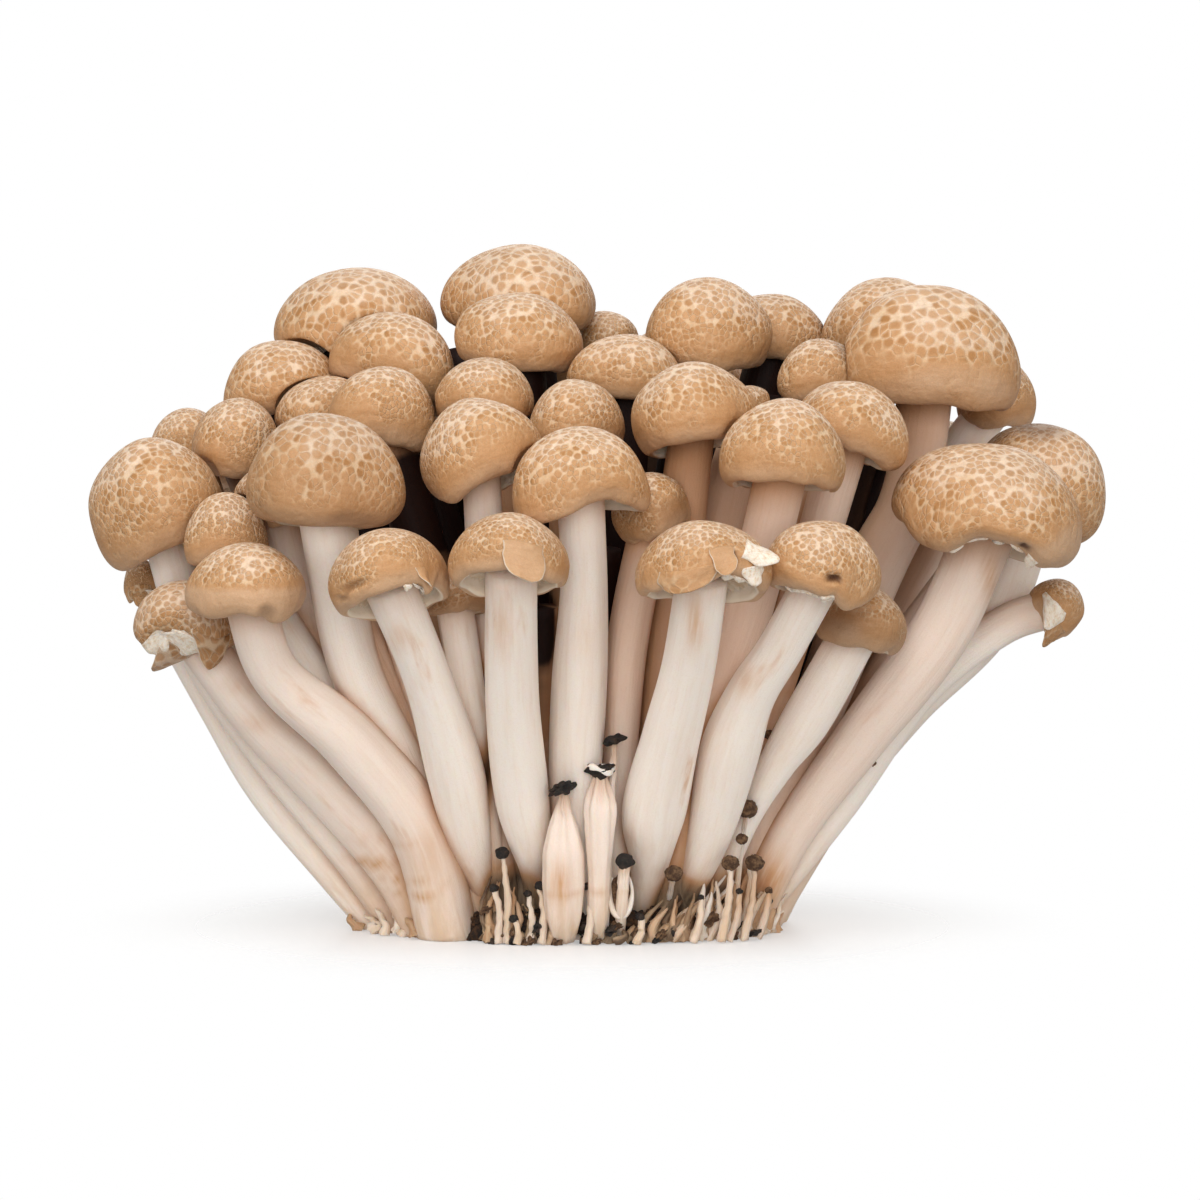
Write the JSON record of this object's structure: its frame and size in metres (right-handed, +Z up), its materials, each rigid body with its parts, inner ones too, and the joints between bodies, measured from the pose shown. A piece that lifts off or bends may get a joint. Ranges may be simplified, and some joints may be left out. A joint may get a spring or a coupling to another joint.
{
  "type": "beech mushroom cluster",
  "caption": "standing cluster of brown beech mushrooms with patterned caps on pale stems, cut flat at the foot so that it stands on its own",
  "frame": {"origin": "centre of the flat cut base", "axes": "+Z up from the cut base, -Y the front of the cluster, +X along its widest extent"},
  "size_m": [0.1258, 0.1076, 0.0854],
  "materials": {
    "cap_skin": "satin tan skin with a pale net",
    "stem_flesh": "fibrous cream",
    "bed": "damp dark crumbs",
    "pin_head": "dried dark skin"
  },
  "bodies": {
    "root": {"cap_back_1": "cap_skin", "cap_back_10": "cap_skin", "cap_back_2": "cap_skin", "cap_back_3": "cap_skin", "cap_back_4": "cap_skin", "cap_back_5": "cap_skin", "cap_back_6": "cap_skin", "cap_back_7": "cap_skin", "cap_back_8": "cap_skin", "cap_back_9": "cap_skin", "cap_front_1": "cap_skin", "cap_front_2": "cap_skin", "cap_front_3": "cap_skin", "cap_front_4": "cap_skin", "cap_front_5": "cap_skin", "cap_front_6": "cap_skin", "cap_front_7": "cap_skin", "cap_low_1": "cap_skin", "cap_low_2": "cap_skin", "cap_low_3": "cap_skin", "cap_low_4": "cap_skin", "cap_low_5": "cap_skin", "cap_low_6": "cap_skin", "cap_low_7": "cap_skin", "cap_middle_1": "cap_skin", "cap_middle_10": "cap_skin", "cap_middle_2": "cap_skin", "cap_middle_3": "cap_skin", "cap_middle_4": "cap_skin", "cap_middle_5": "cap_skin", "cap_middle_6": "cap_skin", "cap_middle_7": "cap_skin", "cap_middle_8": "cap_skin", "cap_middle_9": "cap_skin", "cap_shoulder_1": "cap_skin", "cap_shoulder_10": "cap_skin", "cap_shoulder_2": "cap_skin", "cap_shoulder_3": "cap_skin", "cap_shoulder_4": "cap_skin", "cap_shoulder_5": "cap_skin", "cap_shoulder_6": "cap_skin", "cap_shoulder_7": "cap_skin", "cap_shoulder_8": "cap_skin", "cap_shoulder_9": "cap_skin", "cap_top_1": "cap_skin", "cap_top_2": "cap_skin", "cap_top_3": "cap_skin", "cap_top_4": "cap_skin", "cap_top_5": "cap_skin", "cap_top_6": "cap_skin", "cap_top_7": "cap_skin", "cap_top_8": "cap_skin", "growing_bed": "bed", "pin_head_1": "pin_head", "pin_head_2": "pin_head", "pin_head_3": "pin_head", "pin_head_4": "pin_head", "pin_head_5": "pin_head", "pin_head_6": "pin_head", "stem_cluster": "stem_flesh"}
  },
  "joints": []
}
